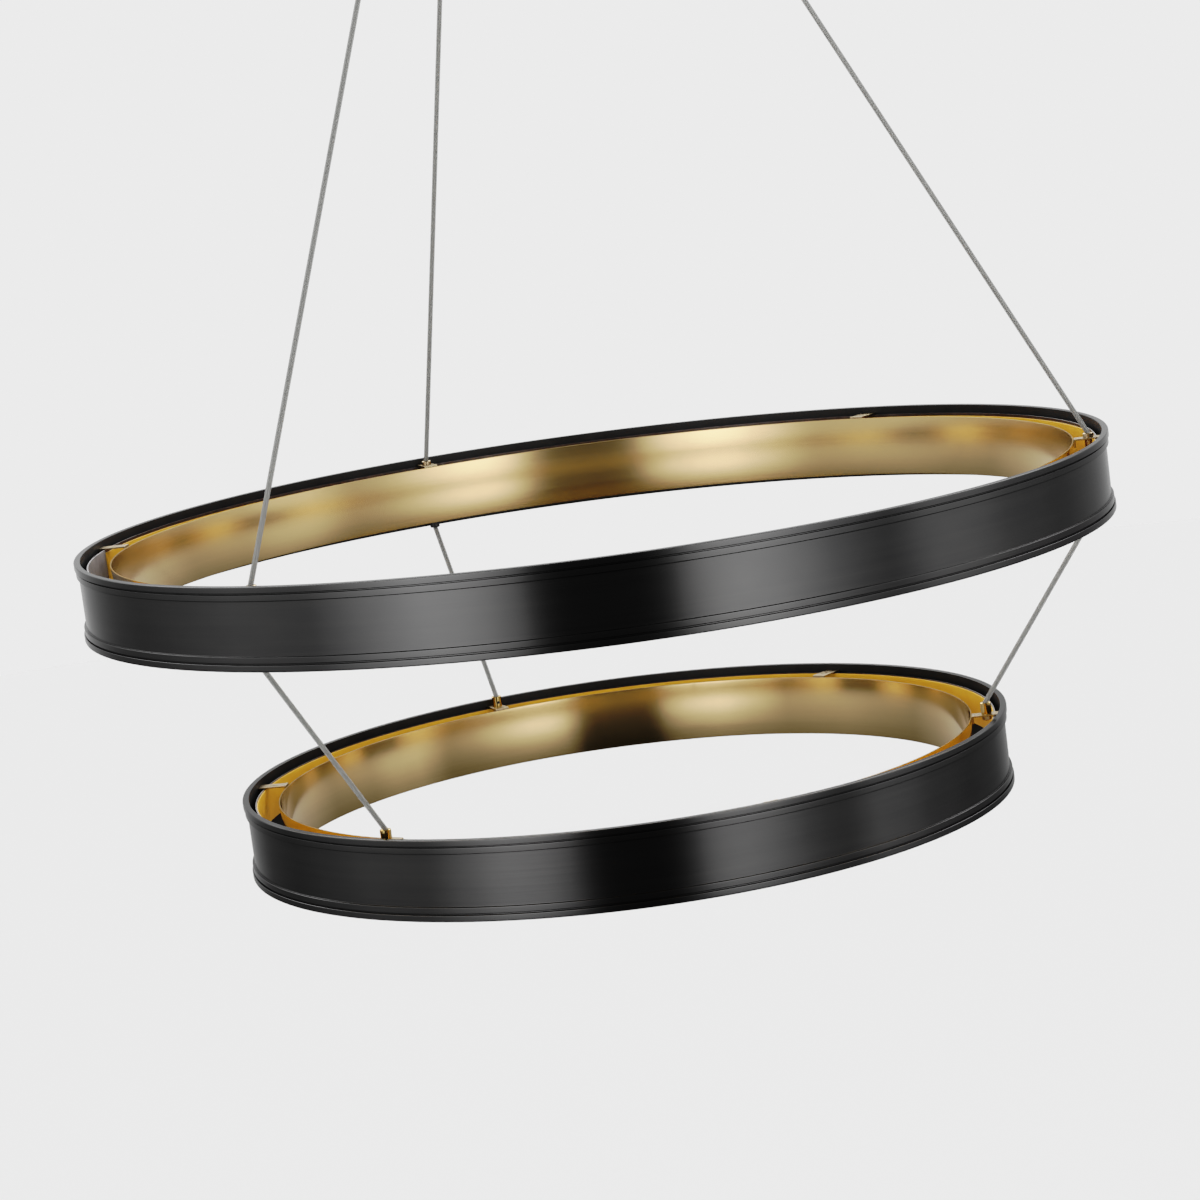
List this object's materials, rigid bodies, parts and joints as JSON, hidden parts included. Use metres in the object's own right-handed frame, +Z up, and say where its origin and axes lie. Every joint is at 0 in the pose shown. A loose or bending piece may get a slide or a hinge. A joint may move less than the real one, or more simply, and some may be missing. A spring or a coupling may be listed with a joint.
{
  "type": "ring chandelier",
  "caption": "Pendant chandelier: level dark metal rings lined with polished brass, one below the other, hung on angled steel cables from a round ceiling canopy.",
  "frame": {"origin": "on the ceiling, at the centre of the ceiling plate's upper face, on the rings' common axis", "axes": "+Z up, out of the ceiling plate towards the ceiling; +X towards the first cable"},
  "size_m": [1.016, 1.016, 1.2702],
  "materials": {
    "dark_band": "satin, finely brushed along the band",
    "brass": "polished, brushed lengthwise on the upper ring",
    "led_strip": "unlit phosphor yellow",
    "pale_brass": "satin",
    "steel_cable": "twisted strands",
    "zinc_steel": "zinc plated",
    "dark_steel": "blackened",
    "driver_case": "fine matt",
    "terminal_plastic": "matt"
  },
  "bodies": {
    "canopy": {"ceiling_plate": "zinc_steel", "suspension_plate": "zinc_steel", "canopy_shell": "dark_band", "led_driver": "driver_case", "terminal_block": "terminal_plastic", "standoff_1": "zinc_steel", "standoff_2": "zinc_steel", "standoff_3": "zinc_steel", "cable_grip_1": "pale_brass", "cable_grip_2": "pale_brass", "cable_grip_3": "pale_brass", "grip_nut_1": "zinc_steel", "grip_nut_2": "zinc_steel", "grip_nut_3": "zinc_steel"},
    "upper_ring": {"upper_band": "dark_band", "upper_reflector": "brass", "upper_led_strip": "led_strip", "upper_top_bridge_1": "pale_brass", "upper_top_bridge_2": "pale_brass", "upper_top_bridge_3": "pale_brass", "upper_top_bridge_4": "pale_brass", "upper_top_bridge_5": "pale_brass", "upper_top_bridge_6": "pale_brass", "upper_bottom_bridge_1": "pale_brass", "upper_bottom_bridge_2": "pale_brass", "upper_bottom_bridge_3": "pale_brass", "feed_tube_1": "pale_brass", "feed_tube_2": "pale_brass", "feed_tube_3": "pale_brass", "feed_cap_1": "pale_brass", "feed_cap_2": "pale_brass", "feed_cap_3": "pale_brass"},
    "lower_ring": {"lower_band": "dark_band", "lower_reflector": "brass", "lower_led_strip": "led_strip", "lower_top_bridge_1": "pale_brass", "lower_top_bridge_2": "pale_brass", "lower_top_bridge_3": "pale_brass", "lower_top_bridge_4": "pale_brass", "lower_top_bridge_5": "pale_brass", "lower_top_bridge_6": "pale_brass", "lower_bottom_bridge_1": "pale_brass", "lower_bottom_bridge_2": "pale_brass", "lower_bottom_bridge_3": "pale_brass", "cable_barrel_1": "pale_brass", "cable_barrel_2": "pale_brass", "cable_barrel_3": "pale_brass", "set_screw_1": "dark_steel", "set_screw_2": "dark_steel", "set_screw_3": "dark_steel", "barrel_nut_1": "zinc_steel", "barrel_nut_2": "zinc_steel", "barrel_nut_3": "zinc_steel"},
    "upper_cable_1": {"upper_cable_1": "steel_cable"},
    "upper_cable_2": {"upper_cable_2": "steel_cable"},
    "upper_cable_3": {"upper_cable_3": "steel_cable"},
    "lower_cable_1": {"lower_cable_1": "steel_cable"},
    "lower_cable_2": {"lower_cable_2": "steel_cable"},
    "lower_cable_3": {"lower_cable_3": "steel_cable"}
  },
  "joints": [
    {"name": "upper_ring_sway", "type": "hinge", "parent": "canopy", "child": "upper_ring", "pos_m": [0, 0, 0.03998], "axis": [0, 1, 0], "range_deg": [-3, 3]},
    {"name": "lower_ring_twist", "type": "hinge", "parent": "upper_ring", "child": "lower_ring", "pos_m": [0, 0, -1.18895], "axis": [0, 0, 1], "range_deg": [-2, 2]},
    {"name": "upper_cable_1_swing", "type": "hinge", "parent": "canopy", "child": "upper_cable_1", "pos_m": [0.05, 0, -0.06], "axis": [0, 1, 0], "range_deg": [-3.5, 3.5]},
    {"name": "upper_cable_2_swing", "type": "hinge", "parent": "canopy", "child": "upper_cable_2", "pos_m": [-0.025, 0.0433, -0.06], "axis": [0, 1, 0], "range_deg": [-3.5, 3.5]},
    {"name": "upper_cable_3_swing", "type": "hinge", "parent": "canopy", "child": "upper_cable_3", "pos_m": [-0.025, -0.0433, -0.06], "axis": [0, 1, 0], "range_deg": [-3.5, 3.5]},
    {"name": "lower_cable_1_swing", "type": "hinge", "parent": "upper_ring", "child": "lower_cable_1", "pos_m": [0.488, 0, -1.01085], "axis": [0.8142, 0, -0.5806], "range_deg": [-3.5, 3.5]},
    {"name": "lower_cable_2_swing", "type": "hinge", "parent": "upper_ring", "child": "lower_cable_2", "pos_m": [-0.244, 0.42262, -1.01085], "axis": [-0.4071, 0.7051, -0.5806], "range_deg": [-3.5, 3.5]},
    {"name": "lower_cable_3_swing", "type": "hinge", "parent": "upper_ring", "child": "lower_cable_3", "pos_m": [-0.244, -0.42262, -1.01085], "axis": [-0.4071, -0.7051, -0.5806], "range_deg": [-3.5, 3.5]}
  ],
  "couplings": [
    {"joint": "upper_cable_1_swing", "follows": "upper_ring_sway", "ratio": 1.1142},
    {"joint": "upper_cable_2_swing", "follows": "upper_ring_sway", "ratio": 1.1142},
    {"joint": "upper_cable_3_swing", "follows": "upper_ring_sway", "ratio": 1.1142},
    {"joint": "lower_cable_1_swing", "follows": "lower_ring_twist", "ratio": 1.6503},
    {"joint": "lower_cable_2_swing", "follows": "lower_ring_twist", "ratio": 1.6503},
    {"joint": "lower_cable_3_swing", "follows": "lower_ring_twist", "ratio": 1.6503}
  ]
}
